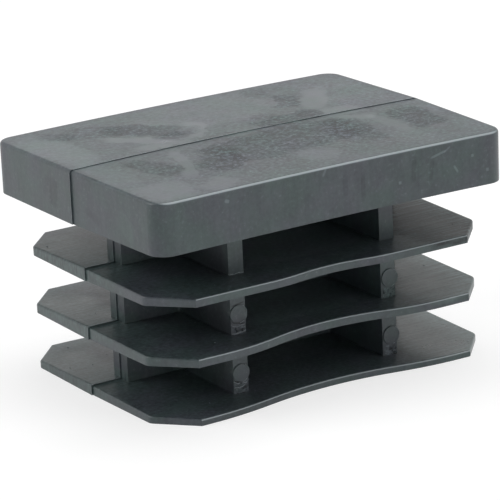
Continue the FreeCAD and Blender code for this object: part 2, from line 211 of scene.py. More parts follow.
WEAR_AND_PAINTED_LIGHT = (
    # painted light lifting the shade in the middle pockets; painted shade on the left rib's left side
    Mark((0.0, -4.6, -8.0), (7.6, 5.4, 8.7), 0, Face.FRONT, tone=0.6, fade=0.15),
    # painted shade: the left side of the left rib made darker
    Mark((-9.5, -5.6, -8.0), (0.4, 4.4, 8.7), 0, Face.FRONT, tone=-0.45, fade=0.3),
    # knocks and rubs on the long side of the head
    Mark((11.8, -14.6, 4.0), (1.0, 0.6, 0.14), -14, Face.FRONT, tone=1.1, fade=0.8),
    Mark((12.8, -14.6, 4.3), (0.5, 0.6, 0.12), -35, Face.FRONT, tone=0.8, fade=0.8),
    Mark((13.8, -14.6, 2.2), (0.5, 0.6, 0.14), 58, Face.FRONT, tone=1.0, fade=0.8),
    Mark((-12.0, -14.6, 4.0), (0.3, 0.6, 0.2), 20, Face.FRONT, tone=1.2, fade=0.9),
    Mark((-1.1, -14.6, 4.6), (0.14, 0.6, 0.45), 30, Face.FRONT, tone=0.8, fade=0.8),
    Mark((7.4, -14.6, 2.0), (0.18, 0.6, 0.18), 0, Face.FRONT, tone=1.1, fade=0.8),
    Mark((17.4, -14.6, 1.5), (0.2, 0.6, 0.2), 0, Face.FRONT, tone=0.9, fade=0.8),
    Mark((15.7, -14.6, 3.2), (0.18, 0.6, 0.18), 0, Face.FRONT, tone=1.1, fade=0.8),
    Mark((11.0, -14.6, 2.6), (0.3, 0.6, 1.2), 8, Face.FRONT, tone=-0.28, fade=0.9),
    Mark((3.2, -14.6, 2.4), (0.3, 0.6, 1.6), 0, Face.FRONT, tone=-0.28, fade=0.9),
    Mark((1.2, -14.6, 2.9), (0.35, 0.6, 1.2), 0, Face.FRONT, tone=-0.25, fade=0.9),
    Mark((9.0, -14.6, 3.0), (0.3, 0.6, 1.4), 4, Face.FRONT, tone=-0.25, fade=0.9),
    # smears beside the parting line on the end of the head
    Mark((-20.0, 3.4, 2.4), (0.6, 0.9, 1.7), 10, Face.END, tone=-0.34, grain=0.4, fade=0.9),
    Mark((-20.0, 4.7, 2.9), (0.6, 0.5, 1.3), 20, Face.END, tone=-0.22, fade=0.9),
    Mark((-20.0, -3.6, 1.6), (0.6, 1.5, 0.5), 20, Face.END, tone=-0.2, fade=0.9),
    Mark((-20.0, -9.4, 1.9), (0.6, 1.8, 1.2), 30, Face.END, tone=0.2, fade=0.9),
    # torn skin below the pads on both ribs
    Mark((-8.6, -10.2, -10.3), (0.85, 0.3, 0.55), 0, Face.FRONT, tone=0.1, grain=3.5, fade=0.6),
    Mark((-8.6, -10.2, -16.1), (0.85, 0.3, 0.65), 0, Face.FRONT, tone=0.1, grain=3.5, fade=0.6),
    Mark((8.75, -10.2, -10.2), (0.85, 0.3, 0.6), 0, Face.FRONT, tone=0.15, grain=4.5, fade=0.6),
    Mark((8.75, -10.2, -16.1), (0.85, 0.3, 0.65), 0, Face.FRONT, tone=0.15, grain=4.5, fade=0.6),
    # cracks in the skin below the pads on the left rib, and last a painted shadow above its upper pad
    Mark((-8.6, -10.2, -9.62), (0.75, 0.3, 0.10), 14, Face.FRONT, tone=-1.3, fade=0.7),
    Mark((-8.3, -10.2, -10.35), (0.5, 0.3, 0.12), -10, Face.FRONT, tone=-0.8, fade=0.8),
    Mark((-8.7, -10.2, -15.5), (0.7, 0.3, 0.12), 18, Face.FRONT, tone=-1.3, fade=0.7),
    Mark((-8.2, -10.2, -16.1), (0.5, 0.3, 0.16), -16, Face.FRONT, tone=-0.9, fade=0.8),
    # painted shadow: a dark line along the top of the upper pad on the left rib
    Mark((-8.6, -10.2, -7.75), (0.8, 0.3, 0.09), -8, Face.FRONT, tone=-0.9, fade=0.8),
    # drag on the ends of the fins, from pulling the cap out of the mould, with painted light and shade
    # painted light: the left ends of the fins a little paler
    Mark((-18.0, 4.0, -4.6), (4.5, 9.0, 1.2), tone=0.08, streak=1.0, fade=0.4),
    Mark((-18.0, 4.0, -10.4), (4.5, 9.0, 1.2), tone=0.15, haze=-0.04, streak=0.8, fade=0.4),
    Mark((-18.0, 4.0, -16.3), (4.5, 9.0, 1.2), tone=0.12, haze=-0.03, streak=0.7, fade=0.4),
    # painted shade on the top fin's right end, under the head; painted light on the lower fins' right
    # ends
    Mark((15.5, -8.0, -4.6), (6.0, 8.0, 1.2), tone=-0.45, haze=0.06, streak=2.2, grain=0.2, fade=0.3),
    Mark((15.5, -8.0, -10.4), (6.0, 8.0, 1.2), tone=0.2, haze=-0.04, streak=1.6, fade=0.3),
    Mark((15.5, -8.0, -16.3), (6.0, 8.0, 1.2), tone=0.4, haze=-0.10, streak=1.1, fade=0.3),
)


@dataclass(frozen=True)
class Polyethylene:
    """Low-density polyethylene, coloured through, as it leaves a steel mould.

    It gives the eye a waxy, dark blue-grey body with a wide soft gloss: pale and even where the
    melt ran fast, darker and mottled where it slowed down, chalky in its knocks and rubs,
    and with a painted highlight along the edges rounded from the top to the front.

    Attributes:
        name: the material's name.
        deep_hex: the plastic at its darkest.
        chalk_hex: the plastic at its palest.
        rubbed_hex: the painted highlight on edges rounded from the top to the front.
        green_hex: the greenish end of its slow drift in hue.
        mauve_hex: the reddish end of that drift.
        ior: index of refraction.
        roughness: its gloss where nothing changes it.
        cloud_mm: width of the soft clouds.
        grain_mm: width of the mottling, coarser than the real grain so that it shows.
        tint_mm: width of the drift in hue.
        drag_mm: drag marks along X, Y and Z.
        streak_mm: upright streaks along X, Y and Z.
        cloud_detail: finer layers in the clouds.
        grain_detail: finer layers in the mottling.
        tint_detail: finer layers in the drift in hue.
        drag_detail: finer layers in the drag marks.
        streak_detail: finer layers in the streaks.
        fineness: how strong all those layers are.
        warp_mm: how far the outlines of marks on the top wander.
        warp_rise: share of that which goes up and down.
        cloud_tone: how much the clouds change the tone.
        cloud_base: the tone where there is no cloud.
        streak_tone: how much the streaks change the tone.
        mottling: how strongly the grain shows.
        level_from: the normal's Z from which a face counts as level.
        steep_mottling: share of the mottling that faces below that keep.
        dragging: how strongly the drag marks show.
        speck_from: the grain's values from which its peaks are pale specks.
        speck_tone: how pale the specks are.
        specks: how strongly they show.
        tone_share: how much of the way from deep to chalk each 1 of tone goes.
        tone_base: how far along that way a tone of 0 lies.
        tint_from: the drift's values between which the hue changes.
        drag_green: how much greener dragged places are.
        cloud_haze: how much the clouds change the gloss.
        grain_haze: how much the grain changes it.
        wave_mm: height of the waves of shrinkage.
        wave_share: share of that height that shades the surface.
        felt_mm: height of the mottling.
        felt_share: share of that height that shades the surface.
        edge_from: product of the normal's Y and Z between which an edge takes the painted highlight.
        edge_share: how much of the painted highlight shows there.
        marks: the clouds, bands and rubs, and the patches of painted light and shade.
    """

    name: str = "moulded_polyethylene_dark_grey"
    deep_hex: str = "0d131a"
    chalk_hex: str = "6b7578"
    rubbed_hex: str = "b0babe"
    green_hex: str = "ebfdf5"
    mauve_hex: str = "fbf5ff"
    ior: float = 1.5
    roughness: float = 0.40
    cloud_mm: float = 3.0
    grain_mm: float = 0.36
    tint_mm: float = 4.0
    drag_mm: Point = (5.0, 0.28, 1.0)
    streak_mm: Point = (0.7, 0.7, 9.0)
    cloud_detail: float = 4.0
    grain_detail: float = 3.0
    tint_detail: float = 2.0
    drag_detail: float = 2.0
    streak_detail: float = 3.0
    fineness: float = 0.6
    warp_mm: float = 1.6
    warp_rise: float = 0.1
    cloud_tone: float = 0.8
    cloud_base: float = -0.03
    streak_tone: float = 0.55
    mottling: Strength = Strength(NOISE_MIDDLE, 3.0, 4.2)
    level_from: float = 0.7
    steep_mottling: float = 0.25
    dragging: Strength = Strength(NOISE_MIDDLE, 0.0, 2.6)
    speck_from: Pair = (0.62, 0.72)
    speck_tone: float = 0.9
    specks: Strength = Strength(0.0, 0.45, 1.3)
    tone_share: float = 0.4
    tone_base: float = 0.28
    tint_from: Pair = (0.35, 0.65)
    drag_green: float = 0.32
    cloud_haze: float = 0.16
    grain_haze: Strength = Strength(NOISE_MIDDLE, 0.04, 0.35)
    wave_mm: float = 0.03
    wave_share: float = 0.5
    felt_mm: float = 0.012
    felt_share: float = 0.6
    edge_from: Pair = (-0.34, -0.48)
    edge_share: float = 0.8
    marks: tuple[Mark, ...] = ()

    def make(self) -> bpy.types.Material:
        """Builds the material.

        Returns:
            A material on Object coordinates.
        """
        material = bpy.data.materials.new(self.name)
        material.use_nodes = True
        tree = material.node_tree
        tree.nodes.clear()
        place = add_node(tree, "ShaderNodeTexCoord").outputs["Object"]
        noises = self.add_noises(tree, place)
        sums = self.add_marks(tree, place, noises["clouds"].outputs["Color"])
        direction = add_node(tree, "ShaderNodeTexCoord").outputs["Normal"]
        normal = add_node(tree, "ShaderNodeSeparateXYZ", {0: direction})
        level = self.add_level(tree, noises, sums, normal)
        colour = self.add_colour(tree, place, level, sums, normal)
        rough = self.add_haze(tree, noises, sums)
        relief = self.add_relief(tree, noises)
        shader = add_node(tree, "ShaderNodeBsdfPrincipled", {
            "Base Color": colour, "IOR": self.ior, "Roughness": rough, "Normal": relief})
        add_node(tree, "ShaderNodeOutputMaterial", {"Surface": shader.outputs[0]})
        return material

    def add_noises(self, tree: Tree, place: Socket) -> dict[str, Node]:
        """Adds the clouds, the grain, the drag and the streaks.

        Args:
            tree: the tree that takes the nodes.
            place: Object coordinates.

        Returns:
            A noise node for each, by name.
        """
        noises = {}
        even = (("clouds", self.cloud_mm, self.cloud_detail), ("grain", self.grain_mm, self.grain_detail))
        for name, size, detail in even:
            noises[name] = add_node(tree, "ShaderNodeTexNoise", {
                "Vector": place, "Scale": per_mm(size), "Detail": detail, "Roughness": self.fineness})
        drawn_out = (("drag", self.drag_mm, self.drag_detail),
                     ("streaks", self.streak_mm, self.streak_detail))
        for name, sizes, detail in drawn_out:
            scales = [per_mm(size) for size in sizes]
            stretched = add_node(tree, "ShaderNodeMapping", {"Vector": place, "Scale": scales})
            noises[name] = add_node(tree, "ShaderNodeTexNoise", {
                "Vector": stretched.outputs[0], "Scale": 1.0, "Detail": detail,
                "Roughness": self.fineness})
        return noises

    def add_level(self, tree: Tree, noises: dict[str, Node], sums: dict[str, Socket],
                  normal: Node) -> Socket:
        """Adds up how pale the surface is: clouds, marks, mottling, drag, specks and streaks.

        Args:
            tree: the tree that takes the nodes.
            noises: the noise nodes.
            sums: the marks' sums.
            normal: the surface's direction, split into its parts.

        Returns:
            How far it lies from deep to chalk.
        """
        faces_up = add_node(tree, "ShaderNodeMapRange", {
            "Value": normal.outputs["Z"], "From Min": self.level_from, "From Max": 1.0,
            "To Min": self.steep_mottling, "To Max": 1.0})
        grain = noises["grain"].outputs["Fac"]
        mottled = self.weighed(tree, grain, self.mottling, sums["grain"])
        mottling = add_node(tree, "ShaderNodeMath", {
            0: mottled, 1: faces_up.outputs[0]}, operation="MULTIPLY")
        dragged = self.weighed(tree, noises["drag"].outputs["Fac"], self.dragging, sums["streak"])
        peaks = add_node(tree, "ShaderNodeMapRange", {
            "Value": grain, "From Min": self.speck_from[0], "From Max": self.speck_from[1],
            "To Max": self.speck_tone})
        specks = self.weighed(tree, peaks.outputs[0], self.specks, sums["grain"])
        clouds = noises["clouds"].outputs["Fac"]
        soft = add_node(tree, "ShaderNodeMath", {
            0: clouds, 1: self.cloud_tone, 2: self.cloud_base}, operation="MULTIPLY_ADD")
        streaks = self.centred(tree, noises["streaks"].outputs["Fac"], self.streak_tone)
        level = self.total(tree, [soft.outputs[0], sums["tone"], mottling.outputs[0], dragged, specks,
                                  streaks])
        return add_node(tree, "ShaderNodeMath", {
            0: level, 1: self.tone_share, 2: self.tone_base}, operation="MULTIPLY_ADD").outputs[0]

    def add_colour(self, tree: Tree, place: Socket, level: Socket, sums: dict[str, Socket],
                   normal: Node) -> Socket:
        """Adds the colour: from deep to chalk, with a slow drift in hue and a painted edge highlight.

        Args:
            tree: the tree that takes the nodes.
            place: Object coordinates.
            level: how far it lies from deep to chalk.
            sums: the marks' sums.
            normal: the surface's direction, split into its parts.

        Returns:
            The colour.
        """
        pale = add_node(tree, "ShaderNodeMix", {
            "Factor": level, 6: linear(self.deep_hex), 7: linear(self.chalk_hex)}, data_type="RGBA")
        drift = add_node(tree, "ShaderNodeTexNoise", {
            "Vector": place, "Scale": per_mm(self.tint_mm), "Detail": self.tint_detail,
            "Roughness": self.fineness})
        greener = add_node(tree, "ShaderNodeMath", {
            0: sums["streak"], 1: self.drag_green}, operation="MULTIPLY")
        drift = add_node(tree, "ShaderNodeMath", {
            0: drift.outputs["Fac"], 1: greener.outputs[0]}, operation="SUBTRACT")
        tint = add_node(tree, "ShaderNodeMapRange", {
            "Value": drift.outputs[0], "From Min": self.tint_from[0], "From Max": self.tint_from[1]})
        hue = add_node(tree, "ShaderNodeMix", {
            "Factor": tint.outputs[0], 6: linear(self.green_hex), 7: linear(self.mauve_hex)},
            data_type="RGBA")
        tinted = add_node(tree, "ShaderNodeMix", {
            "Factor": 1.0, 6: pale.outputs[2], 7: hue.outputs[2]}, data_type="RGBA",
            blend_type="MULTIPLY")
        # painted highlight on the edges rounded from the top to the front, chosen by the way they face
        rubbed = self.rubbed_edges(tree, normal)
        return add_node(tree, "ShaderNodeMix", {
            "Factor": rubbed, 6: tinted.outputs[2], 7: linear(self.rubbed_hex)},
            data_type="RGBA").outputs[2]

    def add_haze(self, tree: Tree, noises: dict[str, Node], sums: dict[str, Socket]) -> Socket:
        """Adds up how rough the surface is: the marks, the clouds and the grain.

        Args:
            tree: the tree that takes the nodes.
            noises: the noise nodes.
            sums: the marks' sums.

        Returns:
            The roughness.
        """
        clouds = self.centred(tree, noises["clouds"].outputs["Fac"], self.cloud_haze)
        grain = self.weighed(tree, noises["grain"].outputs["Fac"], self.grain_haze, sums["grain"])
        rough = self.total(tree, [sums["haze"], clouds, grain])
        return add_node(tree, "ShaderNodeMath", {
            0: rough, 1: self.roughness}, operation="ADD", use_clamp=True).outputs[0]

    def add_relief(self, tree: Tree, noises: dict[str, Node]) -> Socket:
        """Adds the waves of shrinkage, and on them the mottling that can just be felt.

        Args:
            tree: the tree that takes the nodes.
            noises: the noise nodes.

        Returns:
            The direction of the surface with both.
        """
        waves = add_node(tree, "ShaderNodeBump", {
            "Height": noises["clouds"].outputs["Fac"], "Distance": self.wave_mm * MM,
            "Strength": self.wave_share})
        relief = add_node(tree, "ShaderNodeBump", {
            "Height": noises["grain"].outputs["Fac"], "Distance": self.felt_mm * MM,
            "Strength": self.felt_share, "Normal": waves.outputs[0]})
        return relief.outputs[0]

    def centred(self, tree: Tree, value: Socket, amount: float) -> Socket:
        """Turns a noise's value into one round zero, times an amount."""
        shifted = add_node(tree, "ShaderNodeMath", {0: value, 1: NOISE_MIDDLE}, operation="SUBTRACT")
        return add_node(tree, "ShaderNodeMath", {
            0: shifted.outputs[0], 1: amount}, operation="MULTIPLY").outputs[0]

    def weighed(self, tree: Tree, value: Socket, strength: Strength, weight: Socket) -> Socket:
        """Scales a pattern by a weight that the marks give.

        Args:
            tree: the tree that takes the nodes.
            value: the pattern.
            strength: how strongly it shows.
            weight: the marks' sum.

        Returns:
            The scaled pattern.
        """
        shifted = add_node(tree, "ShaderNodeMath", {0: value, 1: strength.middle}, operation="SUBTRACT")
        amount = add_node(tree, "ShaderNodeMath", {
            0: weight, 1: strength.reach, 2: strength.base}, operation="MULTIPLY_ADD")
        amount = add_node(tree, "ShaderNodeMath", {0: amount.outputs[0], 1: 0.0}, operation="MAXIMUM")
        return add_node(tree, "ShaderNodeMath", {
            0: shifted.outputs[0], 1: amount.outputs[0]}, operation="MULTIPLY").outputs[0]

    def total(self, tree: Tree, values: list[Socket]) -> Socket:
        """Adds several values up.

        Args:
            tree: the tree that takes the nodes.
            values: what to add, at least one.

        Returns:
            Their sum.
        """
        result = values[0]
        for value in values[1:]:
            result = add_node(tree, "ShaderNodeMath", {0: result, 1: value}, operation="ADD").outputs[0]
        return result

    def rubbed_edges(self, tree: Tree, normal: Node) -> Socket:
        """Adds a painted highlight: a pale line on edges rounded from the top to the front.

        Args:
            tree: the tree that takes the nodes.
            normal: the surface's direction, split into its parts.

        Returns:
            How much of the painted highlight shows.
        """
        turn = add_node(tree, "ShaderNodeMath", {
            0: normal.outputs["Y"], 1: normal.outputs["Z"]}, operation="MULTIPLY")
        return add_node(tree, "ShaderNodeMapRange", {
            "Value": turn.outputs[0], "From Min": self.edge_from[0], "From Max": self.edge_from[1],
            "To Max": self.edge_share}).outputs[0]

    def add_marks(self, tree: Tree, place: Socket, wander: Socket) -> dict[str, Socket]:
        """Adds up what the marks change; on the top their outlines wander.

        Args:
            tree: the tree that takes the nodes.
            place: Object coordinates.
            wander: a colour of noise that moves the outlines.

        Returns:
            A sum for each of tone, haze, grain and streak.
        """
        offset = add_node(tree, "ShaderNodeVectorMath", {
            0: wander, 1: (NOISE_MIDDLE,) * 3}, operation="SUBTRACT")
        reach = 2 * self.warp_mm * MM
        offset = add_node(tree, "ShaderNodeVectorMath", {
            0: offset.outputs[0], 1: (reach, reach, reach * self.warp_rise)}, operation="MULTIPLY")
        moved = add_node(tree, "ShaderNodeVectorMath", {
            0: place, 1: offset.outputs[0]}, operation="ADD")
        zero = add_node(tree, "ShaderNodeValue").outputs[0]
        zero.default_value = 0.0
        sums = {"tone": zero, "haze": zero, "grain": zero, "streak": zero}
        for mark in self.marks:
            mask = self.add_mask(tree, moved.outputs[0] if mark.face is Face.TOP else place, mark)
            for name in sums:
                amount = getattr(mark, name)
                if amount:
                    sums[name] = add_node(tree, "ShaderNodeMath", {
                        0: mask, 1: amount, 2: sums[name]}, operation="MULTIPLY_ADD").outputs[0]
        return sums

    def add_mask(self, tree: Tree, place: Socket, mark: Mark) -> Socket:
        """Adds a value that is 1 inside a mark and 0 outside it.

        Args:
            tree: the tree that takes the nodes.
            place: where the surface is.
            mark: the mark.

        Returns:
            The value, which fades in over the mark's rim.
        """
        middle = [value * MM for value in mark.at]
        local = add_node(tree, "ShaderNodeVectorMath", {0: place, 1: middle}, operation="SUBTRACT")
        if mark.turn:
            local = add_node(tree, "ShaderNodeVectorRotate", {
                "Vector": local.outputs[0], "Angle": -math.radians(mark.turn)},
                rotation_type=mark.face.value)
        scales = [per_mm(value) for value in mark.half]
        local = add_node(tree, "ShaderNodeVectorMath", {
            0: local.outputs[0], 1: scales}, operation="MULTIPLY")
        squares = add_node(tree, "ShaderNodeVectorMath", {
            0: local.outputs[0], 1: local.outputs[0]}, operation="MULTIPLY")
        away = add_node(tree, "ShaderNodeVectorMath", {
            0: squares.outputs[0], 1: squares.outputs[0]}, operation="DOT_PRODUCT")
        mask = add_node(tree, "ShaderNodeMapRange", {
            "Value": away.outputs["Value"], "From Min": 1.0,
            "From Max": (1.0 - mark.fade) ** BLOCK_POWER}, interpolation_type="SMOOTHSTEP")
        return mask.outputs[0]


def make_tree(name: str, sizes: tuple[str, ...]) -> tuple[Tree, Node]:
    """Starts a Geometry Nodes tree with named float inputs.

    Args:
        name: the tree's name.
        sizes: the names of its inputs, after the geometry.

    Returns:
        The tree and its input node.
    """
    tree = bpy.data.node_groups.new(name, "GeometryNodeTree")
    tree.interface.new_socket("Geometry", in_out="INPUT", socket_type="NodeSocketGeometry")
    for size in sizes:
        tree.interface.new_socket(size, in_out="INPUT", socket_type="NodeSocketFloat")
    tree.interface.new_socket("Geometry", in_out="OUTPUT", socket_type="NodeSocketGeometry")
    return tree, add_node(tree, "NodeGroupInput")


def close_tree(tree: Tree, shape: Socket, material: bpy.types.Material) -> None:
    """Ends a tree in real geometry with its material.

    Args:
        tree: the tree to end.
        shape: the geometry so far.
        material: what it is made of.
    """
    real = add_node(tree, "GeometryNodeRealizeInstances", {"Geometry": shape})
    dressed = add_node(tree, "GeometryNodeSetMaterial", {
        "Geometry": real.outputs[0], "Material": material})
    add_node(tree, "NodeGroupOutput", {"Geometry": dressed.outputs[0]})


def grow(name: str, mesh: bpy.types.Mesh, tree: Tree, sizes: dict[str, float]) -> bpy.types.Object:
    """Runs a Geometry Nodes tree on a mesh and keeps the result as a plain mesh.

    Args:
        name: the piece's name.
        mesh: what the tree starts from.
        tree: the tree.
        sizes: a value for each of its named inputs.

    Returns:
        The piece, at the origin.
    """
    source = bpy.data.objects.new(name, mesh)
    bpy.context.scene.collection.objects.link(source)
    modifier = source.modifiers.new(name, "NODES")
    modifier.node_group = tree
    items = tree.interface.items_tree
    identifiers = {item.name: item.identifier for item in items if item.in_out == "INPUT"}
    for size, value in sizes.items():
        modifier[identifiers[size]] = value
    evaluated = source.evaluated_get(bpy.context.evaluated_depsgraph_get())
    plain = bpy.data.meshes.new_from_object(evaluated)
    source.modifiers.remove(modifier)
    source.data = plain
    bpy.data.meshes.remove(mesh)
    plain.name = name
    log.info("grew %s: %d faces", name, len(plain.polygons))
    return source


def give(piece: bpy.types.Object) -> None:
    """Says which body a piece moves with."""
    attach(piece, BODY)


@dataclass
class CapBody:
    """The moulding itself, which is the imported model's own mesh."""

    finish: Polyethylene

    def dress(self, node: bpy.types.Object) -> None:
        """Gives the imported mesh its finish.

        Args:
            node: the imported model's object.
        """
        material = self.finish.make()
        node.data.materials.clear()
        node.data.materials.append(material)
        log.info("dressed %s in %s", node.name, material.name)


@dataclass(frozen=True)
class Ridge:
    """Sizes of a ridge of flash, in millimetres.

    Attributes:
        width: its radius where it is of middle height.
        waver: how far it strays from its line.
        patch: how long a stretch of even height is.
        spacing: one point of it to the next.
        seed: chooses its noise.
    """

    width: float
    waver: float
    patch: float
    spacing: float
    seed: float

    def inputs(self) -> dict[str, float]:
        """The named inputs of the ridge tree, in metres."""
        return {"Spacing": self.spacing * MM, "Width": self.width * MM, "Waver": self.waver * MM,
                "Patch": self.patch * MM, "Seed": self.seed}


@dataclass
class Flash:
    """Thin ridges of plastic that seeped between the parts of the mould."""

    material: bpy.types.Material
    half_shift: float = 0.12
    head_end: float = 20.0
    head_root: float = 5.31
    head_fall: float = 0.01
    head_edge: float = 0.4
    seam_bow: float = 0.75
    seam_run: float = 19.0
    seam_steps: int = 40
    fin_end: float = 19.0
    web_end: float = 15.75
    fin_roots: tuple[float, ...] = (-4.48, -10.35, -16.22)
    fin_feet: tuple[float, ...] = (-5.78, -11.65, -17.26)
    head_ridge: Ridge = Ridge(width=0.035, waver=0.04, patch=1.2, spacing=0.2, seed=1.0)
    fin_ridge: Ridge = Ridge(width=0.05, waver=0.04, patch=1.2, spacing=0.2, seed=2.0)
    ridge_sides: int = 6
    patch_detail: float = 4.0
    patch_fineness: float = 0.7
    patch_from: Pair = (0.35, 0.65)
    heights: Pair = (0.35, 1.3)

    def tree(self) -> Tree:
        """Builds the tree that turns lines into ridges of uneven height.

        Returns:
            The tree, whose inputs are Spacing, Width, Waver, Patch and Seed.
        """
        tree, given = make_tree("flash_ridge", ("Spacing", "Width", "Waver", "Patch", "Seed"))
        curve = add_node(tree, "GeometryNodeMeshToCurve", {"Mesh": given.outputs["Geometry"]})
        even = add_node(tree, "GeometryNodeResampleCurve", {
            "Curve": curve.outputs[0], "Length": given.outputs["Spacing"]}, mode="LENGTH")
        place = add_node(tree, "GeometryNodeInputPosition")
        scale = add_node(tree, "ShaderNodeMath", {
            0: 1.0, 1: given.outputs["Patch"]}, operation="DIVIDE")
        noise = add_node(tree, "ShaderNodeTexNoise", {
            "Vector": place.outputs[0], "W": given.outputs["Seed"], "Scale": scale.outputs[0],
            "Detail": self.patch_detail, "Roughness": self.patch_fineness}, noise_dimensions="4D")
        shift = add_node(tree, "ShaderNodeVectorMath", {
            0: noise.outputs["Color"], 1: (NOISE_MIDDLE,) * 3}, operation="SUBTRACT")
        shift = add_node(tree, "ShaderNodeVectorMath", {
            0: shift.outputs[0], "Scale": given.outputs["Waver"]}, operation="SCALE")
        moved = add_node(tree, "GeometryNodeSetPosition", {
            "Geometry": even.outputs[0], "Offset": shift.outputs[0]})
        height = add_node(tree, "ShaderNodeMapRange", {
            "Value": noise.outputs["Fac"], "From Min": self.patch_from[0],
            "From Max": self.patch_from[1], "To Min": self.heights[0], "To Max": self.heights[1]})
        ring = add_node(tree, "GeometryNodeCurvePrimitiveCircle", {
            "Resolution": self.ridge_sides, "Radius": given.outputs["Width"]})
        tube = add_node(tree, "GeometryNodeCurveToMesh", {
            "Curve": moved.outputs[0], "Profile Curve": ring.outputs[0], "Scale": height.outputs[0],
            "Fill Caps": True})
        close_tree(tree, tube.outputs[0], self.material)
        return tree

    def seam_at(self, x: float) -> float:
        """How far the parting line across the head has bowed at x."""
        along = (x + self.half_shift) / self.seam_run
        return max(0.0, self.seam_bow * (1.0 - along * along))

    def head_lines(self) -> list[list[Point]]:
        """Lays lines round the head: across its top and down both ends.

        Returns:
            The points of each line.
        """
        left = -self.head_end - self.half_shift
        start = left + self.head_edge
        stop = self.head_end - self.half_shift - self.head_edge
        across = []
        for number in range(self.seam_steps + 1):
            x = start + (stop - start) * number / self.seam_steps
            bow = self.seam_at(x)
            across.append((x, bow, self.head_root - self.head_fall * bow))
        top = self.head_root - self.head_edge
        ends = [[(x, 0.0, 0.0), (x, 0.0, top)] for x in (left, self.head_end)]
        return [across, *ends]

    def fin_lines(self) -> list[list[Point]]:
        """Lays lines on the fins: from the web's ends out, and down the fins' ends.

        Returns:
            The points of each line.
        """
        lines = []
        left = -self.fin_end - self.half_shift
        right = self.fin_end - self.half_shift
        for root, foot in zip(self.fin_roots, self.fin_feet):
            lines += [
                [(-self.web_end - self.half_shift, 0.0, root), (left, 0.0, root), (left, 0.0, foot)],
                [(self.web_end - self.half_shift, 0.0, root), (right, 0.0, root)],
                [(self.fin_end, 0.0, root - self.half_shift), (self.fin_end, 0.0, foot)],
            ]
        return lines

    def ridges(self, name: str, lines: list[list[Point]], ridge: Ridge) -> bpy.types.Object:
        """Builds ridges along lines.

        Args:
            name: the piece's name.
            lines: points in millimetres, for each ridge.
            ridge: the sizes of them all.

        Returns:
            The piece.
        """
        mesh = bpy.data.meshes.new(name)
        points = []
        edges = []
        for line in lines:
            start = len(points)
            points += [tuple(value * MM for value in point) for point in line]
            edges += [(start + number, start + number + 1) for number in range(len(line) - 1)]
        mesh.from_pydata(points, edges, [])
        piece = grow(name, mesh, self.tree(), ridge.inputs())
        give(piece)
        return piece

    def build(self) -> list[bpy.types.Object]:
        """Builds the ridges on the head and on the fins.

        Returns:
            Both pieces.
        """
        return [self.ridges("head_flash", self.head_lines(), self.head_ridge),
                self.ridges("fin_flash", self.fin_lines(), self.fin_ridge)]


@dataclass
class PinMarks:
    """Rings of flash round the pads that the ejector pins left, and the torn skin below them."""

    flash: Flash
    rib_face: float = -10.2
    pad_face: float = -10.32
    pad_radius: float = 0.9
    pads: tuple[Pair, ...] = ((-8.6, -8.72), (8.75, -8.72), (-8.6, -14.59), (8.75, -14.59))
    arc_deg: Pair = (-80.0, 60.0)
    arc_steps: int = 24
    ring_ridge: Ridge = Ridge(width=0.05, waver=0.05, patch=0.4, spacing=0.08, seed=3.0)
    tear_ridge: Ridge = Ridge(width=0.07, waver=0.22, patch=0.3, spacing=0.07, seed=8.0)

    def ring(self, middle: Pair) -> list[Point]:
        """Lays an arc round a pad, counted from +X towards +Z.

        Args:
            middle: the pad's X and Z.

        Returns:
            The arc's points.
        """
        start, stop = self.arc_deg
        points = []
        for number in range(self.arc_steps + 1):
            angle = math.radians(start + (stop - start) * number / self.arc_steps)
            points.append((middle[0] + self.pad_radius * math.cos(angle), self.pad_face,
                           middle[1] + self.pad_radius * math.sin(angle)))
        return points

    def tears(self) -> list[list[Point]]:
        """Lays short torn lines across the left rib, below its pads and at its foot.

        Returns:
            The points of each line.
        """
        runs = (
            ((-9.45, -9.66), (-9.1, -9.9), (-8.7, -10.0), (-8.3, -9.86), (-7.85, -9.9)),
            ((-9.4, -10.55), (-8.9, -10.66), (-8.4, -10.6), (-7.8, -10.5)),
            ((-9.4, -15.35), (-9.0, -15.62), (-8.6, -15.5), (-8.1, -15.72), (-7.75, -15.4)),
            ((-9.35, -15.95), (-8.8, -16.05), (-8.2, -15.9)),
            ((-9.45, -4.62), (-8.9, -4.78), (-8.3, -4.7), (-7.75, -4.78)),
        )
        return [[(x, self.rib_face, z) for x, z in run] for run in runs]

    def build(self) -> list[bpy.types.Object]:
        """Builds the rings and the tears.

        Returns:
            Both pieces.
        """
        rings = [self.ring(pad) for pad in self.pads]
        return [self.flash.ridges("pin_rings", rings, self.ring_ridge),
                self.flash.ridges("torn_skin", self.tears(), self.tear_ridge)]


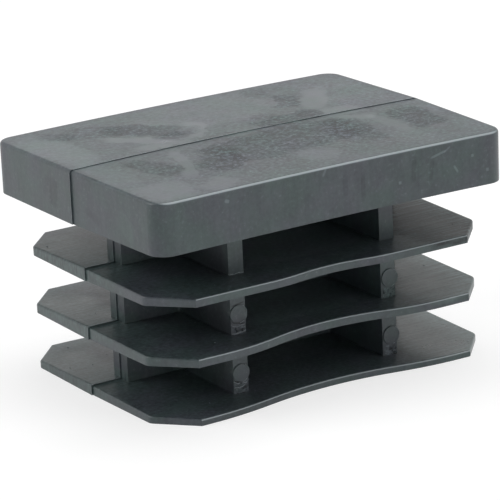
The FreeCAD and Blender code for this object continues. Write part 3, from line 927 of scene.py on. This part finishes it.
@dataclass
class Crumbs:
    """Specks of plastic that broke off the flash and stuck to the fins."""

    material: bpy.types.Material
    per_mm2: float = 0.05
    radius: float = 0.07
    highest: float = -4.0
    level_from: float = 0.98
    least: Point = (0.4, 0.4, 0.3)
    most: Point = (1.6, 1.1, 0.9)
    tumble: Point = (0.5, 0.5, math.tau)
    same_place: float = 0.001
    seed: int = 11

    def tree(self) -> Tree:
        """Builds the tree that scatters the specks over what faces up.

        Returns:
            The tree, whose inputs are Density, Radius and Highest.
        """
        tree, given = make_tree("crumb_scatter", ("Density", "Radius", "Highest"))
        normal = add_node(tree, "ShaderNodeSeparateXYZ", {
            0: add_node(tree, "GeometryNodeInputNormal").outputs[0]})
        place = add_node(tree, "ShaderNodeSeparateXYZ", {
            0: add_node(tree, "GeometryNodeInputPosition").outputs[0]})
        faces_up = add_node(tree, "ShaderNodeMath", {
            0: normal.outputs["Z"], 1: self.level_from}, operation="GREATER_THAN")
        is_low = add_node(tree, "ShaderNodeMath", {
            0: place.outputs["Z"], 1: given.outputs["Highest"]}, operation="LESS_THAN")
        wanted = add_node(tree, "ShaderNodeMath", {
            0: faces_up.outputs[0], 1: is_low.outputs[0]}, operation="MULTIPLY")
        points = add_node(tree, "GeometryNodeDistributePointsOnFaces", {
            "Mesh": given.outputs["Geometry"], "Selection": wanted.outputs[0],
            "Density": given.outputs["Density"], "Seed": self.seed})
        speck = add_node(tree, "GeometryNodeMeshIcoSphere", {
            "Radius": given.outputs["Radius"], "Subdivisions": 1})
        size = add_node(tree, "FunctionNodeRandomValue", {
            "Min": self.least, "Max": self.most, "Seed": self.seed}, data_type="FLOAT_VECTOR")
        turn = add_node(tree, "FunctionNodeRandomValue", {
            "Max": self.tumble, "Seed": self.seed + 1}, data_type="FLOAT_VECTOR")
        spread = add_node(tree, "GeometryNodeInstanceOnPoints", {
            "Points": points.outputs["Points"], "Instance": speck.outputs["Mesh"],
            "Rotation": turn.outputs[0], "Scale": size.outputs[0]})
        close_tree(tree, spread.outputs[0], self.material)
        return tree

    def build(self, node: bpy.types.Object) -> bpy.types.Object:
        """Scatters the specks over a merged copy of the cap.

        Args:
            node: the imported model's object.

        Returns:
            The piece.
        """
        mesh = bpy.data.meshes.new("crumbs")
        merged = bmesh.new()
        merged.from_mesh(node.data)
        bmesh.ops.remove_doubles(merged, verts=merged.verts, dist=self.same_place * MM)
        merged.to_mesh(mesh)
        merged.free()
        sizes = {"Density": self.per_mm2 / MM ** 2, "Radius": self.radius * MM,
                 "Highest": self.highest * MM}
        piece = grow("crumbs", mesh, self.tree(), sizes)
        give(piece)
        return piece


@dataclass(frozen=True)
class Lamp:
    """One soft lamp that faces the cap.

    Attributes:
        name: its name.
        towards: the direction to it from the cap.
        distance_m: how far away it hangs.
        size_m: its width and height.
        radiance: how bright its face is, where white paper in full light is about 1.
    """

    name: str
    towards: Point
    distance_m: float
    size_m: Pair
    radiance: float

    def hang(self) -> None:
        """Hangs the lamp where it belongs, turned to the cap."""
        data = bpy.data.lights.new(self.name, "AREA")
        data.shape = "RECTANGLE"
        data.size, data.size_y = self.size_m
        data.energy = self.radiance * math.pi * self.size_m[0] * self.size_m[1]
        lamp = bpy.data.objects.new(self.name, data)
        bpy.context.scene.collection.objects.link(lamp)
        direction = Vector(self.towards).normalized()
        lamp.rotation_euler = direction.to_track_quat("Z", "Y").to_euler()
        lamp.location = direction * self.distance_m


@dataclass
class Studio:
    """A pale floor, a white sweep and soft light, seen from where the photograph was taken."""

    azimuth_deg: float = -32.097
    elevation_deg: float = 17.193
    roll_deg: float = -2.529
    distance_mm: float = 327.32
    aim_right_mm: float = -0.188
    aim_up_mm: float = -6.292
    focal_px: float = 3372.9
    frame_px: float = 500.0
    sensor_mm: float = 36.0
    floor_hex: str = "f4f4f4"
    floor_seen: float = 1.3
    floor_half_m: float = 3.0
    floor_glow: float = 0.7
    room_level: float = 0.16
    sweep_level: float = 1.0
    ceiling_level: float = 0.35
    sweep_top: Pair = (0.38, 0.55)
    lamps: tuple[Lamp, ...] = (
        Lamp("overhead_softbox", (0.25, 0.15, 0.95), 1.0, (0.8, 0.7), 4.1),
        Lamp("front_right_softbox", (0.51, -0.62, 0.60), 1.2, (0.5, 0.5), 2.2),
        Lamp("left_back_softbox", (-0.72, 0.42, 0.60), 1.2, (0.7, 0.5), 4.6),
        Lamp("low_front_softbox", (0.10, -0.99, 0.12), 1.2, (1.4, 0.35), 1.1),
    )

    def camera_axes(self) -> tuple[Vector, Vector, Vector]:
        """Works out the camera's right, up and back directions.

        Returns:
            Three unit vectors in the cap's frame.
        """
        azimuth = math.radians(self.azimuth_deg)
        elevation = math.radians(self.elevation_deg)
        back = Vector((math.sin(azimuth) * math.cos(elevation), -math.cos(azimuth) * math.cos(elevation),
                       math.sin(elevation)))
        level_right = Vector((math.cos(azimuth), math.sin(azimuth), 0.0))
        level_up = back.cross(level_right)
        turn = math.radians(self.roll_deg)
        right = math.cos(turn) * level_right + math.sin(turn) * level_up
        return right, back.cross(right), back

    def add_camera(self) -> None:
        """Puts the camera at the photograph's place, turned and zoomed as it was."""
        right, up, back = self.camera_axes()
        data = bpy.data.cameras.new("camera")
        data.sensor_width = self.sensor_mm
        data.lens = self.focal_px / self.frame_px * self.sensor_mm
        camera = bpy.data.objects.new("camera", data)
        bpy.context.scene.collection.objects.link(camera)
        place = (back * self.distance_mm + right * self.aim_right_mm + up * self.aim_up_mm) * MM
        turned = Matrix((right, up, back)).transposed().to_4x4()
        camera.matrix_world = Matrix.Translation(place) @ turned
        bpy.context.scene.camera = camera

    def shows_background(self, tree: Tree) -> Socket:
        """Adds a test for rays that show the background, seen, mirrored or through glass.

        Args:
            tree: the tree that takes the nodes.

        Returns:
            1 for such a ray, or else 0.
        """
        path = add_node(tree, "ShaderNodeLightPath")
        seen = add_node(tree, "ShaderNodeMath", {
            0: path.outputs["Is Camera Ray"], 1: path.outputs["Is Glossy Ray"]}, operation="MAXIMUM")
        return add_node(tree, "ShaderNodeMath", {
            0: seen.outputs[0], 1: path.outputs["Is Transmission Ray"]}, operation="MAXIMUM").outputs[0]

    def paint(self) -> bpy.types.Material:
        """Makes the floor's matt white paint, which gives the eye an even ground with a soft shadow.

        Returns:
            The material.
        """
        material = bpy.data.materials.new("painted_floor")
        material.use_nodes = True
        tree = material.node_tree
        tree.nodes.clear()
        paint = linear(self.floor_hex)
        seen_paint = tuple(value * self.floor_seen for value in paint[:3]) + (1.0,)
        shown = self.shows_background(tree)
        colour = add_node(tree, "ShaderNodeMix", {
            "Factor": shown, 6: paint, 7: seen_paint}, data_type="RGBA")
        paint_shader = add_node(tree, "ShaderNodeBsdfDiffuse", {"Color": colour.outputs[2]})
        glow = add_node(tree, "ShaderNodeEmission", {"Color": WHITE, "Strength": 1.0})
        share = add_node(tree, "ShaderNodeMath", {
            0: self.shows_background(tree), 1: self.floor_glow}, operation="MULTIPLY")
        shader = add_node(tree, "ShaderNodeMixShader", {
            0: share.outputs[0], 1: paint_shader.outputs[0], 2: glow.outputs[0]})
        add_node(tree, "ShaderNodeOutputMaterial", {"Surface": shader.outputs[0]})
        return material

    def add_floor(self, height: float) -> None:
        """Lays the floor under the cap.

        Args:
            height: the floor's height in metres.
        """
        half = self.floor_half_m
        mesh = bpy.data.meshes.new("floor")
        corners = [(-half, -half), (half, -half), (half, half), (-half, half)]
        mesh.from_pydata([(*corner, height) for corner in corners], [], [(0, 1, 2, 3)])
        floor = bpy.data.objects.new("floor", mesh)
        bpy.context.scene.collection.objects.link(floor)
        mesh.materials.append(self.paint())

    def light_room(self) -> None:
        """Makes a white sweep under a dimmer ceiling, with a low plain level for what it lights."""
        world = bpy.data.worlds.new("white_room")
        world.use_nodes = True
        tree = world.node_tree
        tree.nodes.clear()
        direction = add_node(tree, "ShaderNodeTexCoord").outputs["Generated"]
        towards = add_node(tree, "ShaderNodeSeparateXYZ", {0: direction})
        sweep = add_node(tree, "ShaderNodeMapRange", {
            "Value": towards.outputs["Z"], "From Min": self.sweep_top[0], "From Max": self.sweep_top[1],
            "To Min": self.sweep_level, "To Max": self.ceiling_level}, interpolation_type="SMOOTHSTEP")
        path = add_node(tree, "ShaderNodeLightPath")
        white = add_node(tree, "ShaderNodeMix", {
            "Factor": path.outputs["Is Camera Ray"], 2: sweep.outputs[0], 3: 1.0})
        level = add_node(tree, "ShaderNodeMix", {
            "Factor": self.shows_background(tree), 2: self.room_level, 3: white.outputs[0]})
        glow = add_node(tree, "ShaderNodeBackground", {"Color": WHITE, "Strength": level.outputs[0]})
        add_node(tree, "ShaderNodeOutputWorld", {"Surface": glow.outputs[0]})
        bpy.context.scene.world = world

    def build(self, height: float) -> None:
        """Builds the whole studio.

        Args:
            height: the floor's height in metres.
        """
        self.add_camera()
        self.add_floor(height)
        self.light_room()
        for lamp in self.lamps:
            lamp.hang()
        bpy.context.scene.view_settings.view_transform = "Standard"
        log.info("built the studio with its floor at %.2f mm", height / MM)


def main() -> None:
    """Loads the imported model, dresses it and builds the studio round it."""
    logging.basicConfig(level=logging.INFO, format="%(name)s: %(message)s")
    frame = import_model()
    node = frame["nodes"][NODE]
    CapBody(Polyethylene(marks=WEAR_AND_PAINTED_LIGHT + FLOW_MARKS_AND_PAINTED_LIGHT)).dress(node)
    # the same plastic, so thin that it gives the eye a paler, glossier hairline
    thin = Polyethylene(name="thin_polyethylene_flash", deep_hex="2c3337", chalk_hex="8c9498",
                        roughness=0.32)
    flash = Flash(thin.make())
    flash.build()
    PinMarks(flash).build()
    Crumbs(flash.material).build(node)
    lowest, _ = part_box(NODE)
    Studio().build(lowest.z)


if __name__ == "__main__":
    main()
